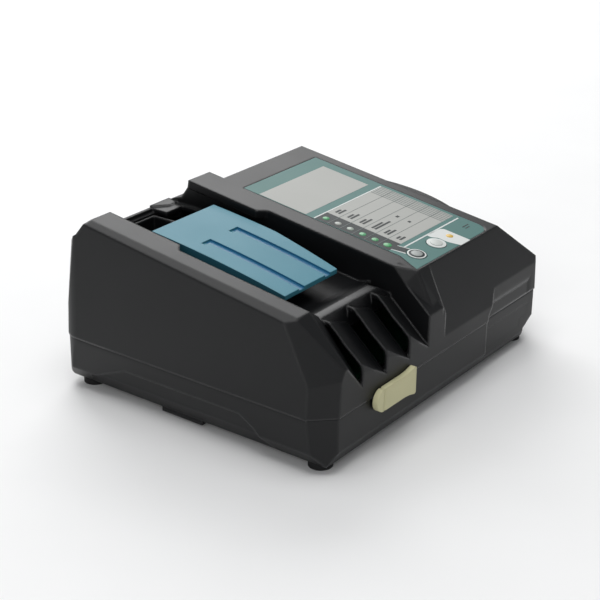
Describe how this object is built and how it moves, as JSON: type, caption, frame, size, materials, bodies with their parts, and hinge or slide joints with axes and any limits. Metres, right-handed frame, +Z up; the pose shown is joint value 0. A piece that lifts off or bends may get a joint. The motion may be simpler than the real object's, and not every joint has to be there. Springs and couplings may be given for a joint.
{
  "type": "power tool battery charger",
  "caption": "Low wedge-shaped mains charger with a sloping rail bay for slide-on tool batteries, a sliding terminal cover, louvred air intakes, a lamp panel and a capped USB outlet.",
  "frame": {"origin": "centre of the base, on the surface the charger stands on", "axes": "+X to the user's right, +Y away from the user towards the end where the battery enters, +Z up"},
  "size_m": [0.187, 0.156, 0.0835],
  "materials": {
    "black_housing": "satin moulded",
    "blue_cover": "satin moulded",
    "grey_moulding": "fine texture",
    "spring_steel": "drawn wire",
    "contact_metal": "plated",
    "label_film": "printed film, bare of text",
    "clear_window": "clear",
    "grey_button": "satin",
    "pale_button": "satin",
    "circuit_board": "lacquered",
    "screw_steel": "plated",
    "cream_rubber": "matt",
    "ferrite": "dull",
    "yellow_tape": "taped",
    "bare_aluminium": "extruded",
    "capacitor_sleeve": "shrink sleeve",
    "copper_wire": "enamelled winding",
    "black_rubber": "matt"
  },
  "bodies": {
    "case": {"upper_case": "black_housing", "lower_case": "black_housing", "cover_springs": "spring_steel", "terminal_block": "grey_moulding", "terminal_blades": "contact_metal", "signal_connector": "contact_metal", "air_duct": "black_housing", "fan_frame": "black_housing", "panel_label": "label_film", "lamp_windows": "clear_window", "panel_board": "circuit_board", "panel_board_screws": "screw_steel", "sounder": "black_housing", "usb_socket": "screw_steel", "usb_board": "circuit_board", "main_board": "circuit_board", "board_screws": "screw_steel", "transformer_core": "ferrite", "transformer_winding": "yellow_tape", "heatsink": "bare_aluminium", "power_transistors": "black_housing", "bulk_capacitor": "capacitor_sleeve", "filter_capacitor": "yellow_tape", "mains_fuse": "contact_metal", "smoothing_choke": "copper_wire", "rubber_feet": "black_rubber", "case_screws": "screw_steel", "cord_gland": "black_rubber", "cap_anchor": "cream_rubber"},
    "cover": {"terminal_cover": "blue_cover"},
    "rotor": {"fan_rotor": "grey_moulding"},
    "sound_key": {"sound_button": "grey_button"},
    "usb_key": {"usb_button": "pale_button"},
    "cap": {"usb_cap": "cream_rubber"}
  },
  "joints": [
    {"name": "cover_slide", "type": "slide", "parent": "case", "child": "cover", "axis": [0, -0.9945, -0.1045], "range_m": [0, 0.038], "stiffness_N_per_m": 60, "springref_m": -0.02, "deforming": ["cover_springs"]},
    {"name": "fan_spin", "type": "hinge", "parent": "case", "child": "rotor", "pos_m": [-0.05225, 0.0515, 0.05], "axis": [0, 0, 1], "continuous": true},
    {"name": "sound_press", "type": "slide", "parent": "case", "child": "sound_key", "axis": [0, 0.1392, -0.9903], "range_m": [0, 0.0006], "stiffness_N_per_m": 800, "springref_m": -0.001},
    {"name": "usb_press", "type": "slide", "parent": "case", "child": "usb_key", "axis": [0, 0.1392, -0.9903], "range_m": [0, 0.0006], "stiffness_N_per_m": 800, "springref_m": -0.001},
    {"name": "cap_swing", "type": "hinge", "parent": "case", "child": "cap", "pos_m": [-0.0535, -0.0766, 0.0246], "axis": [0, 0, -1], "range_deg": [0, 90]}
  ]
}
